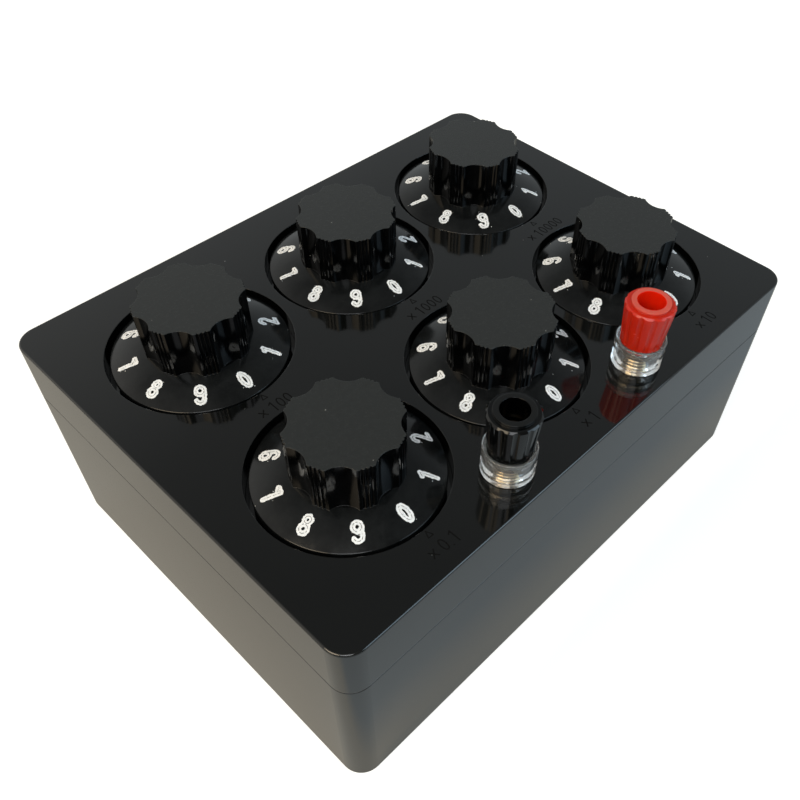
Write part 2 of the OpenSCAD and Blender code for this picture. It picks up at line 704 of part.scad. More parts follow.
// A tapered, fluted cap with a flat shoulder and a raised ring round its mouth
module post_cap(shade) color(shade) translate([0, 0, case_h]) difference() {
  flute_place = cap_flute_r - cap_flute_depth;
  union() {
    translate([0, 0, cap_foot]) cylinder(r1 = cap_foot_r, r2 = cap_r, h = cap_edge - cap_foot);
    translate([0, 0, cap_edge]) cylinder(r1 = cap_r, r2 = cap_r - cap_bevel, h = cap_bevel);
    translate([0, 0, cap_edge]) cylinder(r = cap_ring_r, h = cap_top - cap_edge);
  }
  for (i = [0:cap_flutes - 1]) rotate([0, 0, (i + 0.5) * 360 / cap_flutes])
    rod([cap_foot_r + flute_place - cap_slope * over, 0, cap_foot - over],
      [cap_r + flute_place + cap_slope * cap_top, 0, cap_edge + cap_top], cap_flute_r);
  translate([0, 0, cap_foot - over])
    cylinder(r = insert_r + part_gap, h = insert_pocket_top - cap_foot + over);
  translate([0, 0, cap_foot]) cylinder(r = cap_mouth_r, h = cap_top - cap_foot + over);
}

module post_insert() color("#cdb06a") translate([0, 0, case_h])
  tube(insert_r, post_barrel_r + part_gap, insert_foot, insert_foot + insert_l);

module post_nuts() color("#b9b4a8") for (p = post_places) translate([p.x, p.y, 0])
  hex_nut(post_nut_af, post_shank_r + part_gap, tag_under - post_nut_t, tag_under);

module post_solder_tags() color("#cfcabb") for (p = post_places)
  translate([p.x, p.y, tag_under]) difference() {
    union() {
      cylinder(r = tag_r, h = lug_t);
      rotate([0, 0, 90]) lug_strip(lug_w, lug_t, tag_l + lug_w / 2, lug_w / 4);
    }
    translate([0, 0, -over]) cylinder(r = post_shank_r + part_gap, h = lug_t + 2 * over);
  }

// Link wires, from lug to lug: they drop to a level below the plates and run in the channels between them

function stud_lug(i) = dial_place(i) + on_circle(lug_end_r - lug_w / 2, zero_angle);
function tail_lug(i) = dial_place(i) + on_circle(lug_end_r - tail_w / 2, tail_angle);
function tag_lug(k) = post_places[k] + [0, tag_l];
lug_under = lug_top - lug_t - wire_end_gap;
tag_wire_top = tag_under - wire_end_gap;
channel = max(plate_r, bobbin_ring_r + bobbin_r) + wire_r + wire_clear;

module wire(points) {
  for (i = [0:len(points) - 2]) rod(points[i], points[i + 1], wire_r);
  for (i = [1:len(points) - 2]) translate(points[i]) sphere(r = wire_r + fuse / 3);
}

// A wire from one end to another, by way of the places in plan given by via
module link(start, z_start, via, end, z_end, level) {
  run = concat([start], via, [end]);
  wire(concat([at_level(start, z_start)], [for (p = run) at_level(p, level)], [at_level(end, z_end)]));
}

module link_wires() color("#a8322a") {
  front_y = dial_place(0).y - channel;
  back_y = dial_place(3).y - channel;
  side_x = dial_place(2).x + channel;
  upper = wire_levels[0];
  lower = wire_levels[1];
  link(tag_lug(0), tag_wire_top, [[tag_lug(0).x, front_y], [stud_lug(0).x, front_y]],
    stud_lug(0), lug_under, upper);
  link(tail_lug(0), lug_under,
    [[tail_lug(0).x, front_y], [-side_x, front_y], [-side_x, back_y], [stud_lug(3).x, back_y]],
    stud_lug(3), lug_under, lower);
  link(tail_lug(3), lug_under, [[tail_lug(3).x, back_y], [stud_lug(4).x, back_y]],
    stud_lug(4), lug_under, upper);
  link(tail_lug(4), lug_under, [[tail_lug(4).x, back_y], [stud_lug(5).x, back_y]],
    stud_lug(5), lug_under, lower);
  link(tail_lug(5), lug_under,
    [[tail_lug(5).x, back_y], [side_x, back_y], [side_x, front_y], [stud_lug(2).x, front_y]],
    stud_lug(2), lug_under, upper);
  link(tail_lug(2), lug_under, [[tail_lug(2).x, front_y], [stud_lug(1).x, front_y]],
    stud_lug(1), lug_under, lower);
  link(tail_lug(1), lug_under, [[tail_lug(1).x, front_y], [tag_lug(1).x, front_y]],
    tag_lug(1), tag_wire_top, upper);
}

case_base();
top_cover();
case_screws();
spindle_bushes();
bush_nuts();
collector_rings();
post_nuts();
post_solder_tags();
link_wires();
for (k = [0, 1]) translate(post_places[k]) {
  post_cap(["#1d1d1e", "#e2401f"][k]);
  post_insert();
  post_collar();
  post_stud();
}
for (i = [0:5]) at_dial(i) {
  knob_dial();
  grub_screw();
  spindle();
  brush();
  contact_plate();
  contact_studs();
  resistors();
}
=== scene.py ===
"""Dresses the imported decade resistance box: marks, clear collars, materials, light and camera."""
import json
import math
from collections import namedtuple

import bpy
import numpy as np
from mathutils import Matrix, Vector, noise


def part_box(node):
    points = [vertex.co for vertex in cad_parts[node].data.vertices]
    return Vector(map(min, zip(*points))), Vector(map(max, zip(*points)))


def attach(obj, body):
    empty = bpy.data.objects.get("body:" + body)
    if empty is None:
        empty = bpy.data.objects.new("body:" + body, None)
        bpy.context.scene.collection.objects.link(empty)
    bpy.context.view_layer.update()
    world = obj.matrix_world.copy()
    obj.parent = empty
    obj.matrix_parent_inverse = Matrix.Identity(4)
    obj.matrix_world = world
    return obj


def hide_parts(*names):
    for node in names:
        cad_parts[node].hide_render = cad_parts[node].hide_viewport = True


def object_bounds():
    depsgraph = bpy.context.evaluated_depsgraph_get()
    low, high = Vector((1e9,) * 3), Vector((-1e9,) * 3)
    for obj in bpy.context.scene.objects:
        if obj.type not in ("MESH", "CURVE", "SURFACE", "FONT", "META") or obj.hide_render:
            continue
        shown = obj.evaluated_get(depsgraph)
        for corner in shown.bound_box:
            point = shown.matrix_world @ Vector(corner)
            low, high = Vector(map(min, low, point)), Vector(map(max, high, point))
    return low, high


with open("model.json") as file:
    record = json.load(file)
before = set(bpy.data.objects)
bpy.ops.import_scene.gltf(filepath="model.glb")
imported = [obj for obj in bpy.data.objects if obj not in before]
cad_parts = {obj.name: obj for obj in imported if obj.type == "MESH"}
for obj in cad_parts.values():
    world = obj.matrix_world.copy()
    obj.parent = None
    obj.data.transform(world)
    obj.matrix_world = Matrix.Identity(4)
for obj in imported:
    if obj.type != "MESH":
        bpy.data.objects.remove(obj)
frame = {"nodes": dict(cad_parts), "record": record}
cad_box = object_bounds()
nodes = frame["nodes"]

MM = 0.001
DECADES = ["tenths", "units", "tens", "hundreds", "thousands", "ten_thousands"]
MULTIPLIERS = ["x0.1", "x1", "x10", "x100", "x1000", "x10000"]
POSTS = ["black", "red"]
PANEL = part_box("top_cover")[1].z

# Section of a dial, in millimetres from its axis and above the panel

SKIRT_EDGE = (22.9, -0.9)
SKIRT_FOOT = (13.8, 2.1)
CROWN_R = 34.0
GRIP_FOOT_Z = SKIRT_FOOT[1] + 0.15
GRIP_TOP_Z = 15.8

# Zones of a binding post, in millimetres from its axis and above the panel

# From where a cap's top gets its painted sheen, and where the sheen is full
CAP_SHEEN_Z = (19.2, 19.7)
# What lies nearer to the axis than this is inside the cap's mouth and gets its painted shading
CAP_MOUTH_R = 3.65
# From where painted shade falls on the metal inside a cap, and where it is full
CAP_SHADE_Z = (6.0, 8.0)
THREAD_PITCH = 1.0


def crown_centre():
    chord = (SKIRT_FOOT[0] - SKIRT_EDGE[0], SKIRT_FOOT[1] - SKIRT_EDGE[1])
    length = math.hypot(*chord)
    sink = math.sqrt(CROWN_R ** 2 - length ** 2 / 4)
    x = (SKIRT_EDGE[0] + SKIRT_FOOT[0]) / 2 - chord[1] * sink / length
    z = (SKIRT_EDGE[1] + SKIRT_FOOT[1]) / 2 + chord[0] * sink / length
    return x, z


CROWN_X, CROWN_Z = crown_centre()


def crown_height(r):
    return CROWN_Z + math.sqrt(CROWN_R ** 2 - (r - CROWN_X) ** 2)


def above_panel(z):
    return PANEL + z * MM


def middle(name):
    lo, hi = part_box(name)
    return (lo + hi) / 2


def add_piece(name, mesh, material):
    mesh.materials.append(material)
    piece = bpy.data.objects.new(name, mesh)
    bpy.context.scene.collection.objects.link(piece)
    return piece


# Stroke font: each figure is a list of polylines in a box about 2.1 wide and 4.3 high

def arc(cx, cy, rx, ry, start, end, steps=14):
    points = []
    for k in range(steps + 1):
        a = math.radians(start + (end - start) * k / steps)
        points.append((cx + rx * math.cos(a), cy + ry * math.sin(a)))
    return points


SIX = [
    arc(0, -1.05, 1.0, 1.08, 0, 360, 24),
    [(-1.0, -1.05), (-0.98, 1.0)] + arc(0.02, 1.15, 1.0, 0.98, 178, 20),
]
STROKES = {
    "0": [arc(0, 0, 0.9, 1.95, 0, 360, 32)],
    "1": [[(0.2, -2.15), (0.2, 2.1)], [(0.2, 2.1), (-0.7, 1.35)]],
    "2": [arc(0, 1.1, 1.05, 1.05, 165, -25) + [(-1.05, -2.1), (1.1, -2.1)]],
    "3": [arc(-0.1, 1.1, 1.0, 1.05, 150, -88), arc(-0.1, -1.05, 1.15, 1.1, 88, -150)],
    "4": [[(0.5, -2.15), (0.5, 2.15), (-1.1, -0.85), (1.15, -0.85)]],
    "5": [[(0.95, 2.1), (-0.75, 2.1), (-0.95, 0.25)] + arc(-0.05, -0.8, 1.15, 1.32, 118, -145)],
    "6": SIX,
    "7": [[(-0.8, 2.0), (0.85, 1.95), (-0.2, -2.2)], [(-0.5, 2.0), (0.45, 1.1)]],
    "8": [arc(0, 1.15, 0.8, 0.86, 0, 360, 22), arc(0, -1.0, 1.0, 1.02, 0, 360, 24)],
    "9": [[(-x, -y) for x, y in line] for line in SIX],
    "x": [[(-0.95, -1.5), (0.95, 0.9)], [(-0.95, 0.9), (0.95, -1.5)]],
    ".": [[(-0.05, -2.1), (0.05, -2.1)]],
}


def scaled(strokes, k, du=0.0, dv=0.0):
    return [[(x * k + du, y * k + dv) for x, y in line] for line in strokes]


# Painted and engraved marks: strokes cut out of a fine grid and laid on a surface as thin slabs

# How a mark is cut: grid cell, raggedness of the edge, and the slab's lower and upper face, in millimetres
Cut = namedtuple("Cut", "cell ragged low high")

RAG_SCALE = 2.3
RAG_SEED_STEP = 7.7
RAG_FINE_SCALE = 2.7
RAG_FINE_SHARE = 0.5
CORNER_GAP = 0.03
FAR = 1e9
TINY = 1e-12


def distance_field(strokes, u, v):
    """Distance of each point of a grid to the nearest stroke."""
    best = np.full(u.shape, FAR)
    for line in strokes:
        for (ax, ay), (bx, by) in zip(line[:-1], line[1:]):
            dx, dy = bx - ax, by - ay
            t = ((u - ax) * dx + (v - ay) * dy) / max(dx * dx + dy * dy, TINY)
            t = np.clip(t, 0, 1)
            best = np.minimum(best, np.hypot(u - ax - t * dx, v - ay - t * dy))
    return best


def stroke_grid(strokes, margin, cell):
    """Coordinates of a square grid that covers the strokes with a margin."""
    us = [p[0] for line in strokes for p in line]
    vs = [p[1] for line in strokes for p in line]
    nu = int((max(us) - min(us) + 2 * margin) / cell) + 2
    nv = int((max(vs) - min(vs) + 2 * margin) / cell) + 2
    u = min(us) - margin + cell * np.arange(nu)
    v = min(vs) - margin + cell * np.arange(nv)
    return np.meshgrid(u, v, indexing="ij")


def roughen(field, gu, gv, cut, seed):
    """Makes the contour of a field ragged."""
    reach = 2 * cut.ragged + cut.cell
    for i, j in np.argwhere(np.abs(field) < reach):
        place = Vector((gu[i, j] * RAG_SCALE, gv[i, j] * RAG_SCALE, seed * RAG_SEED_STEP))
        fine = RAG_FINE_SHARE * noise.noise(place * RAG_FINE_SCALE)
        field[i, j] += cut.ragged * (noise.noise(place) + fine)


def inside_contour(field, gu, gv):
    """Points and polygons that cover where a field is below zero, cut off along its contour."""
    index = {}
    points = []
    polygons = []

    def corner(c):
        if c not in index:
            index[c] = len(points)
            points.append((gu[c], gv[c]))
        return index[c]

    def crossing(a, b):
        key = (min(a, b), max(a, b))
        if key not in index:
            t = field[a] / (field[a] - field[b])
            t = min(max(t, CORNER_GAP), 1 - CORNER_GAP)
            index[key] = len(points)
            points.append((gu[a] + t * (gu[b] - gu[a]), gv[a] + t * (gv[b] - gv[a])))
        return index[key]

    for i in range(field.shape[0] - 1):
        for j in range(field.shape[1] - 1):
            ring = [(i, j), (i + 1, j), (i + 1, j + 1), (i, j + 1)]
            inside = [field[c] < 0 for c in ring]
            if not any(inside):
                continue
            loop = []
            for k in range(4):
                after = (k + 1) % 4
                if inside[k]:
                    loop.append(corner(ring[k]))
                if inside[k] != inside[after]:
                    loop.append(crossing(ring[k], ring[after]))
            if len(loop) >= 3:
                polygons.append(loop)
    return points, polygons


class Sheet:
    """Collects marks as thin closed slabs and builds them as one piece."""

    def __init__(self):
        self.verts = []
        self.faces = []

    def fill(self, strokes, half_width, cut, seed, lay):
        gu, gv = stroke_grid(strokes, half_width + cut.ragged + 2 * cut.cell, cut.cell)
        field = distance_field(strokes, gu, gv) - half_width
        roughen(field, gu, gv, cut, seed)
        points, polygons = inside_contour(field, gu, gv)
        top = len(self.verts)
        bottom = top + len(points)
        self.verts += [lay(u, v, cut.high) for u, v in points]
        self.verts += [lay(u, v, cut.low) for u, v in points]
        borders = {}
        for loop in polygons:
            self.faces.append([top + k for k in loop])
            self.faces.append([bottom + k for k in reversed(loop)])
            borders.update(dict.fromkeys(zip(loop, loop[1:] + loop[:1])))
        for a, b in borders:
            if (b, a) not in borders:
                self.faces.append([top + b, top + a, bottom + a, bottom + b])

    def build(self, name, body, material):
        mesh = bpy.data.meshes.new(name)
        mesh.from_pydata(self.verts, [], self.faces)
        mesh.validate()
        piece = add_piece(name, mesh, material)
        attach(piece, body)
        return piece


# Material helpers

# Most of a noise lies between these values
NOISE_LOW = 0.3
NOISE_HIGH = 0.7

# A wave texture has one band in this length divided by its scale
WAVE_BAND = math.pi / 10


def rgb(red, green, blue):
    return (red, green, blue, 1)


def node(tree, kind, inputs=None, **settings):
    made = tree.nodes.new(kind)
    for key, value in settings.items():
        setattr(made, key, value)
    for key, value in (inputs or {}).items():
        if isinstance(value, bpy.types.NodeSocket):
            tree.links.new(value, made.inputs[key])
        else:
            made.inputs[key].default_value = value
    return made


def start_material(name, values):
    material = bpy.data.materials.new(name)
    material.use_nodes = True
    tree = material.node_tree
    shader = tree.nodes["Principled BSDF"]
    for key, value in values.items():
        shader.inputs[key].default_value = value
    place = node(tree, "ShaderNodeTexCoord").outputs["Object"]
    return material, tree, shader, place


def dress(tree, shader, tone, roughness):
    tree.links.new(tone, shader.inputs["Base Color"])
    tree.links.new(roughness, shader.inputs["Roughness"])


def noise_at(tree, place, scale, detail=3.0, roughness=0.55, stretch=None):
    if stretch:
        place = node(tree, "ShaderNodeMapping", {"Vector": place, "Scale": stretch}).outputs["Vector"]
    inputs = {"Vector": place, "Scale": scale, "Detail": detail, "Roughness": roughness}
    return node(tree, "ShaderNodeTexNoise", inputs).outputs["Fac"]


def bands_at(tree, place, scale, distortion=0.0):
    """Wave of level bands."""
    inputs = {"Vector": place, "Scale": scale, "Distortion": distortion}
    return node(tree, "ShaderNodeTexWave", inputs, bands_direction="Z").outputs["Fac"]


def parts_of(tree, vector):
    return node(tree, "ShaderNodeSeparateXYZ", {"Vector": vector}).outputs


def ranged(tree, value, low, high, to_low=0.0, to_high=1.0):
    inputs = {"Value": value, "From Min": low, "From Max": high, "To Min": to_low, "To Max": to_high}
    return node(tree, "ShaderNodeMapRange", inputs).outputs["Result"]


def noise_range(tree, grain, to_low, to_high):
    return ranged(tree, grain, NOISE_LOW, NOISE_HIGH, to_low, to_high)


def math_of(tree, operation, a, b=0.0):
    return node(tree, "ShaderNodeMath", {0: a, 1: b}, operation=operation).outputs["Value"]


def vector_of(tree, operation, a, b=(0, 0, 0)):
    return node(tree, "ShaderNodeVectorMath", {0: a, 1: b}, operation=operation).outputs


def mixed(tree, factor, a, b):
    return node(tree, "ShaderNodeMix", {0: factor, 2: a, 3: b}).outputs[0]


def blended(tree, factor, a, b):
    return node(tree, "ShaderNodeMix", {0: factor, 6: a, 7: b}, data_type="RGBA").outputs[2]


def bumped(tree, shader, height, strength, depth=0.2, edge=0.0):
    """Fine relief, and edges that catch the light as rounded ones do; depth and edge are in millimetres."""
    inputs = {"Height": height, "Strength": strength, "Distance": depth * MM}
    if edge:
        inputs["Normal"] = node(tree, "ShaderNodeBevel", {"Radius": edge * MM}, samples=6).outputs["Normal"]
    made = node(tree, "ShaderNodeBump", inputs)
    tree.links.new(made.outputs["Normal"], shader.inputs["Normal"])


def specks(tree, place, scale, size, share):
    """Mask of tiny scattered flecks."""
    cells = node(tree, "ShaderNodeTexVoronoi", {"Vector": place, "Scale": scale})
    near = math_of(tree, "LESS_THAN", cells.outputs["Distance"], size)
    tint = node(tree, "ShaderNodeSeparateColor", {"Color": cells.outputs["Color"]}).outputs["Red"]
    chosen = math_of(tree, "LESS_THAN", tint, share)
    return math_of(tree, "MULTIPLY", near, chosen)


# Materials

def case_plastic():
    """Polished black moulding with dust and faint scratches."""
    material, tree, shader, place = start_material("case_plastic", {"IOR": 1.62})
    cloud = noise_at(tree, place, scale=34, detail=4)
    grain = noise_at(tree, place, scale=1400, detail=2)
    scratch = noise_at(tree, place, scale=260, roughness=0.7, stretch=(1.0, 9.0, 1.0))
    wear = ranged(tree, scratch, 0.68, 0.8, to_high=0.16)
    roughness = math_of(tree, "ADD", noise_range(tree, cloud, 0.05, 0.1), wear)
    tone = blended(tree, cloud, rgb(0.0018, 0.0021, 0.002), rgb(0.0032, 0.0036, 0.0034))
    dust = specks(tree, place, scale=420, size=0.05, share=0.05)
    dress(tree, shader, blended(tree, dust, tone, rgb(0.3, 0.3, 0.29)), roughness)
    bumped(tree, shader, grain, 0.012, edge=0.25)
    return material


def dial_plastic():
    """Black moulding with a smeared skirt, a glossy grip and a satin top whose lighter colour is partly a
    painted sheen.
    """
    material, tree, shader, place = start_material("dial_plastic", {"IOR": 1.42})
    height = parts_of(tree, place)["Z"]
    on_grip = math_of(tree, "GREATER_THAN", height, above_panel(GRIP_FOOT_Z))
    on_top = math_of(tree, "GREATER_THAN", height, above_panel(GRIP_TOP_Z))
    cloud = noise_at(tree, place, scale=120, detail=4)
    scuff = noise_at(tree, place, scale=700, detail=4, roughness=0.7)
    smear = ranged(tree, noise_at(tree, place, scale=150, detail=5, roughness=0.7), 0.35, 0.7)
    skirt_roughness = ranged(tree, smear, 0, 1, 0.1, 0.22)
    grip_roughness = noise_range(tree, cloud, 0.1, 0.13)
    top_roughness = noise_range(tree, scuff, 0.22, 0.3)
    roughness = mixed(tree, on_top, mixed(tree, on_grip, skirt_roughness, grip_roughness), top_roughness)
    skirt_tone = blended(tree, smear, rgb(0.0024, 0.0029, 0.0032), rgb(0.0085, 0.0095, 0.0098))
    grip_tone = blended(tree, cloud, rgb(0.0004, 0.0005, 0.0006), rgb(0.001, 0.0012, 0.0014))
    # The top's lighter colour is partly scuffed satin and partly a painted sheen from overhead light.
    top_tone_and_painted_sheen = blended(tree, scuff, rgb(0.018, 0.0198, 0.0196), rgb(0.026, 0.0284, 0.028))
    tone = blended(tree, on_top, blended(tree, on_grip, skirt_tone, grip_tone), top_tone_and_painted_sheen)
    dust = specks(tree, place, scale=480, size=0.055, share=0.08)
    dress(tree, shader, blended(tree, dust, tone, rgb(0.42, 0.42, 0.4)), roughness)
    bumped(tree, shader, scuff, 0.02, edge=0.18)
    return material


def cap_plastic(post, dark, light, painted_top_sheen, inner, gloss, subsurface):
    """Glossy cap with a painted sheen on its top and painted shading in its mouth, whose colour each cap
    gives; subsurface scattering lets light into its thin wall.
    """
    values = {"IOR": 1.43, "Subsurface Scale": 2 * MM, "Subsurface Weight": subsurface}
    material, tree, shader, place = start_material(f"{post}_cap_plastic", values)
    cloud = noise_at(tree, place, scale=240)
    grain = noise_at(tree, place, scale=1600, detail=2)
    height = parts_of(tree, place)["Z"]
    on_top = ranged(tree, height, above_panel(CAP_SHEEN_Z[0]), above_panel(CAP_SHEEN_Z[1]))
    level = vector_of(tree, "MULTIPLY", place, (1, 1, 0))["Vector"]
    centre = middle(f"{post}_post_cap")
    away = vector_of(tree, "DISTANCE", level, (centre.x, centre.y, 0))["Value"]
    in_mouth = math_of(tree, "LESS_THAN", away, CAP_MOUTH_R * MM)
    # The top's lighter colour is a painted sheen.
    tone = blended(tree, on_top, blended(tree, cloud, dark, light), painted_top_sheen)
    # Inside the mouth the colour is painted shading: painted light in the red cap, painted shade in the
    # black one.
    dress(tree, shader, blended(tree, in_mouth, tone, inner), noise_range(tree, cloud, *gloss))
    bumped(tree, shader, grain, 0.03, edge=0.2)
    return material


def clear_plastic():
    values = {"IOR": 1.49, "Transmission Weight": 0.95}
    material, tree, shader, place = start_material("clear_plastic", values)
    cloud = noise_at(tree, place, scale=320, detail=4)
    tone = blended(tree, cloud, rgb(0.9, 0.91, 0.9), rgb(0.98, 0.985, 0.98))
    dress(tree, shader, tone, noise_range(tree, cloud, 0.005, 0.04))
    bumped(tree, shader, cloud, 0.06, depth=0.4, edge=0.2)
    return material


def metal(name, dark, light, gloss):
    """Turned or rolled metal."""
    material, tree, shader, place = start_material(name, {"Metallic": 1.0})
    turning = noise_at(tree, place, scale=900, roughness=0.6, stretch=(1.0, 1.0, 6.0))
    cloud = noise_at(tree, place, scale=160)
    dress(tree, shader, blended(tree, cloud, dark, light), noise_range(tree, turning, *gloss))
    bumped(tree, shader, turning, 0.08, edge=0.1)
    return material


def post_metal():
    """Plated brass of the posts, with painted shade in the thread grooves and on the metal inside the caps.
    """
    material, tree, shader, place = start_material("post_metal", {"Metallic": 1.0})
    height = parts_of(tree, place)["Z"]
    in_cap = ranged(tree, height, above_panel(CAP_SHADE_Z[0]), above_panel(CAP_SHADE_Z[1]))
    cloud = noise_at(tree, place, scale=700)
    groove = ranged(tree, bands_at(tree, place, WAVE_BAND / (THREAD_PITCH * MM)), 0.3, 0.85)
    tone = blended(tree, cloud, rgb(0.2, 0.14, 0.07), rgb(0.5, 0.42, 0.3))
    # Dark bands at the thread's pitch are painted shade in the grooves.
    tone = blended(tree, groove, tone, rgb(0.05, 0.037, 0.022))
    # The metal inside the cap is darkened with painted shade.
    tone = blended(tree, in_cap, tone, rgb(0.03, 0.024, 0.016))
    dress(tree, shader, tone, noise_range(tree, cloud, 0.12, 0.3))
    bumped(tree, shader, cloud, 0.12, edge=0.1)
    return material


def dull(name, dark, light, gloss, scale, stretch=None):
    """Matt insulating material with a fine grain."""
    material, tree, shader, place = start_material(name, {})
    grain = noise_at(tree, place, scale, detail=4, roughness=0.6, stretch=stretch)
    dress(tree, shader, blended(tree, grain, dark, light), noise_range(tree, grain, *gloss))
    bumped(tree, shader, grain, 0.2, depth=0.3)
    return material


def winding():
    """Enamelled wire wound in level turns."""
    material, tree, shader, place = start_material("winding", {})
    turns = bands_at(tree, place, scale=900, distortion=0.4)
    tone = blended(tree, turns, rgb(0.09, 0.022, 0.012), rgb(0.36, 0.12, 0.06))
    dress(tree, shader, tone, ranged(tree, turns, 0, 1, 0.5, 0.3))
    bumped(tree, shader, turns, 0.4)
    return material


def figure_paint():
    material, tree, shader, place = start_material("figure_paint", {"IOR": 1.4})
    cloud = noise_at(tree, place, scale=900, detail=4, roughness=0.65)
    fine = noise_at(tree, place, scale=2600)
    cover = ranged(tree, cloud, 0.32, 0.6)
    tone = blended(tree, cover, rgb(0.74, 0.77, 0.78), rgb(0.95, 0.965, 0.965))
    dress(tree, shader, tone, noise_range(tree, cloud, 0.45, 0.7))
    bumped(tree, shader, fine, 0.35)
    return material


def groove_dark(name, dark, light):
    """Bare matt bottom of an engraved line."""
    material, tree, shader, place = start_material(name, {"Specular IOR Level": 0.12})
    cloud = noise_at(tree, place, scale=1500)
    dress(tree, shader, blended(tree, cloud, dark, light), noise_range(tree, cloud, 0.6, 0.9))
    bumped(tree, shader, cloud, 0.2)
    return material


BLACK_CAP = {
    "dark": rgb(0.0006, 0.0008, 0.0009),
    "light": rgb(0.0014, 0.0017, 0.0018),
    # painted sheen on the black cap's top
    "painted_top_sheen": rgb(0.006, 0.0065, 0.0065),
    # painted shade in the black cap's mouth
    "inner": rgb(0.0004, 0.0004, 0.0004),
    "gloss": (0.05, 0.12),
    "subsurface": 0.0,
}
RED_CAP = {
    "dark": rgb(0.46, 0.012, 0.002),
    "light": rgb(0.6, 0.02, 0.004),
    # painted sheen on the red cap's top
    "painted_top_sheen": rgb(0.63, 0.1, 0.07),
    # painted light in the red cap's mouth
    "inner": rgb(0.78, 0.016, 0.002),
    "gloss": (0.16, 0.28),
    "subsurface": 0.4,
}
MATERIALS = {
    "case_plastic": case_plastic(),
    "dial_plastic": dial_plastic(),
    "black_cap_plastic": cap_plastic("black", **BLACK_CAP),
    "red_cap_plastic": cap_plastic("red", **RED_CAP),
    "clear_plastic": clear_plastic(),
    "nickel": metal("nickel", rgb(0.56, 0.52, 0.44), rgb(0.78, 0.74, 0.66), (0.14, 0.3)),
    "brass": metal("brass", rgb(0.34, 0.25, 0.12), rgb(0.54, 0.42, 0.24), (0.14, 0.28)),
    "spring_brass": metal("spring_brass", rgb(0.56, 0.4, 0.17), rgb(0.78, 0.6, 0.3), (0.2, 0.36)),
    "steel": metal("steel", rgb(0.36, 0.36, 0.35), rgb(0.58, 0.58, 0.56), (0.2, 0.36)),
    "laminate": dull("laminate", rgb(0.12, 0.05, 0.018), rgb(0.24, 0.12, 0.05), (0.4, 0.62),
                     scale=420, stretch=(1.0, 5.0, 1.0)),
    "winding": winding(),
    "wire_insulation": dull("wire_insulation", rgb(0.32, 0.025, 0.02), rgb(0.5, 0.05, 0.04), (0.38, 0.55),
                            scale=700),
}
POST_METAL = post_metal()
PAINT = figure_paint()
HAIRLINE = groove_dark("figure_hairline", rgb(0.12, 0.12, 0.12), rgb(0.3, 0.3, 0.3))
GROOVE = groove_dark("panel_groove", rgb(0.0012, 0.0012, 0.0012), rgb(0.004, 0.004, 0.004))


def finish_node(name, material):
    for material_slot in nodes[name].material_slots:
        material_slot.material = material


for part in frame["record"]["subparts"]:
    finish_node(part["node"], MATERIALS[part["material_slot"]])
for post in POSTS:
    finish_node(f"{post}_post_stud", POST_METAL)
    finish_node(f"{post}_post_insert", POST_METAL)

# Figures on the dials: white paint in engraved strokes, with the cutter's hairline left in the middle

FIGURES = 10
RING_R = 18.5
FIGURE_SCALE = 0.97
FIGURE_SHIFT = 0.25
FIGURE_HALF_WIDTH = 0.6
FIGURE_WIDTH_SWAY = 0.08
PAINT_CUT = Cut(cell=0.15, ragged=0.17, low=-0.03, high=0.035)

HAIR_HALF_WIDTH = 0.05
HAIR_SEED = 200
HAIR_CUT = Cut(cell=0.1, ragged=0.07, low=0.02, high=0.042)

FLECKS = 3
FLECK_SPREAD_U = 3.2
FLECK_SPREAD_V = 4.6
FLECK_STROKE = (0.1, 0.06)
FLECK_HALF_WIDTH = 0.05
FLECK_CUT = Cut(cell=0.07, ragged=0.02, low=-0.02, high=0.02)

# Each dial's seeds start this far after the last dial's
DIAL_SEEDS = 13


def sway(x, y, z):
    """Value of the noise at a place; places far apart give values that have nothing in common."""
    return noise.noise(Vector((x, y, z)))


def lay_on_skirt(axis, angle):
    """Lays a mark on the crowned skirt, upright as seen from outside the dial."""
    out = Vector((math.cos(angle), math.sin(angle), 0))
    along = Vector((-math.sin(angle), math.cos(angle), 0))

    def lay(u, v, rise):
        level = out * (RING_R - v) + along * u
        z = above_panel(crown_height(level.length) + rise)
        return (axis.x + level.x * MM, axis.y + level.y * MM, z)

    return lay


def fleck(seed, count):
    """A small dab of stray paint: its strokes and half its width."""
    spot = Vector((seed * 1.9 + count * 3.3, 7.4, count * 2.6))
    u = FLECK_SPREAD_U * noise.noise(spot)
    v = FLECK_SPREAD_V * noise.noise(spot + Vector((0, 9.1, 0)))
    half_width = FLECK_HALF_WIDTH * (1 + abs(noise.noise(spot * 1.7)))
    return [[(u, v), (u + FLECK_STROKE[0], v + FLECK_STROKE[1])]], half_width


for which, decade in enumerate(DECADES):
    axis = middle(f"{decade}_knob_dial")
    paint = Sheet()
    hairline = Sheet()
    for figure in range(FIGURES):
        seed = DIAL_SEEDS * which + figure
        lay = lay_on_skirt(axis, math.radians(360 / FIGURES * figure - 90))
        shift_u = FIGURE_SHIFT * sway(seed * 1.7, 0.3, 0.9)
        shift_v = FIGURE_SHIFT * sway(seed * 2.3, 4.1, 0.2)
        strokes = scaled(STROKES[str(figure)], FIGURE_SCALE, shift_u, shift_v)
        half_width = FIGURE_HALF_WIDTH + FIGURE_WIDTH_SWAY * sway(seed * 3.1, 1.1, 5.2)
        paint.fill(strokes, half_width, PAINT_CUT, seed, lay)
        hairline.fill(strokes, HAIR_HALF_WIDTH, HAIR_CUT, seed + HAIR_SEED, lay)
        for count in range(FLECKS):
            dab, half_width = fleck(seed, count)
            paint.fill(dab, half_width, FLECK_CUT, seed + count, lay)
    paint.build(f"{decade}_figures", f"{decade}_dial", PAINT)
    hairline.build(f"{decade}_figure_hairlines", f"{decade}_dial", HAIRLINE)

# Panel marks: an arrow at each dial and its multiplier, cut as fine dark lines without paint

